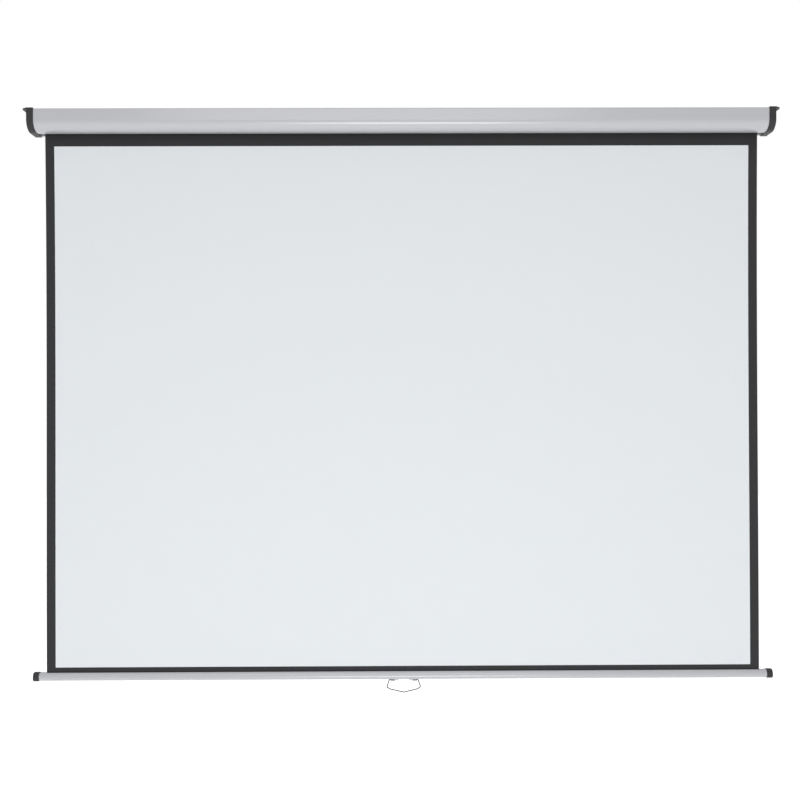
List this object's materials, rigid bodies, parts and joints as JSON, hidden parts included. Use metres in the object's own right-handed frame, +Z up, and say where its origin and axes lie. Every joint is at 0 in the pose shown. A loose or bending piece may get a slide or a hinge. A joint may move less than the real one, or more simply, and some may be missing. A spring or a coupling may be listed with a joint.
{
  "type": "pull down projector screen",
  "caption": "Wide 4:3 matt white projection surface with black borders, drawn down from a slim metal wall case on a spring roller, with a bottom bar and a wire pull handle.",
  "frame": {"origin": "centre of the case's flat back, which lies against the wall", "axes": "+X along the case, to the right of someone who faces the screen; +Y from the screen into the wall; +Z up"},
  "size_m": [2.09, 0.0735, 1.6281],
  "materials": {
    "silver_lacquer": "silver grey lacquer, satin",
    "black_moulding": "fine texture, matt",
    "galvanised_steel": "zinc plated",
    "spring_steel": "oiled",
    "white_nylon": "natural",
    "plated_wire": "bright plated",
    "black_fabric": "matt coated",
    "white_fabric": "matt white coated"
  },
  "bodies": {
    "case": {"case_shell": "silver_lacquer", "left_end_cap": "black_moulding", "right_end_cap": "black_moulding", "left_cap_screw_1": "galvanised_steel", "left_cap_screw_2": "galvanised_steel", "left_cap_screw_3": "galvanised_steel", "right_cap_screw_1": "galvanised_steel", "right_cap_screw_2": "galvanised_steel", "right_cap_screw_3": "galvanised_steel", "idle_bracket": "galvanised_steel", "idle_bush": "white_nylon", "spring_bracket": "galvanised_steel", "spring_shaft": "galvanised_steel", "ratchet_wheel": "spring_steel", "spring_anchor": "galvanised_steel", "torsion_spring": "spring_steel"},
    "roller": {"roller_tube": "galvanised_steel", "spring_end_plug": "black_moulding", "idle_end_plug": "black_moulding", "idle_gudgeon": "galvanised_steel", "shaft_guide_bush": "white_nylon", "fabric_wrap": "black_fabric", "fabric_spline": "white_nylon", "pawl_pin_a": "galvanised_steel", "pawl_pin_b": "galvanised_steel"},
    "lock_pawl_a": {"pawl_a": "spring_steel"},
    "lock_pawl_b": {"pawl_b": "spring_steel"},
    "screen": {"screen_backing": "black_fabric", "viewing_surface": "white_fabric", "bottom_bar": "silver_lacquer", "hem_rod": "galvanised_steel", "left_bar_cap": "black_moulding", "right_bar_cap": "black_moulding", "left_saddle": "galvanised_steel", "right_saddle": "galvanised_steel", "left_saddle_screw": "galvanised_steel", "right_saddle_screw": "galvanised_steel"},
    "handle": {"pull_handle": "plated_wire"}
  },
  "joints": [
    {"name": "screen_slide", "type": "slide", "parent": "case", "child": "screen", "axis": [0, 0, 1], "range_m": [0, 1.5], "deforming": ["screen_backing", "viewing_surface"]},
    {"name": "roller_spin", "type": "hinge", "parent": "case", "child": "roller", "pos_m": [0, -0.036, 0], "axis": [1, 0, 0], "range_deg": [0, 3780]},
    {"name": "pawl_a_swing", "type": "hinge", "parent": "roller", "child": "lock_pawl_a", "pos_m": [1.0122, -0.02535, 0.00746], "axis": [1, 0, 0], "range_deg": [0, 20]},
    {"name": "pawl_b_swing", "type": "hinge", "parent": "roller", "child": "lock_pawl_b", "pos_m": [1.0122, -0.04665, -0.00746], "axis": [1, 0, 0], "range_deg": [0, 20]},
    {"name": "handle_swing", "type": "hinge", "parent": "screen", "child": "handle", "pos_m": [0, -0.01435, -1.5593], "axis": [1, 0, 0], "range_deg": [-80, 80]}
  ],
  "couplings": [
    {"joint": "roller_spin", "follows": "screen_slide", "rad_per_m": 43.982}
  ]
}
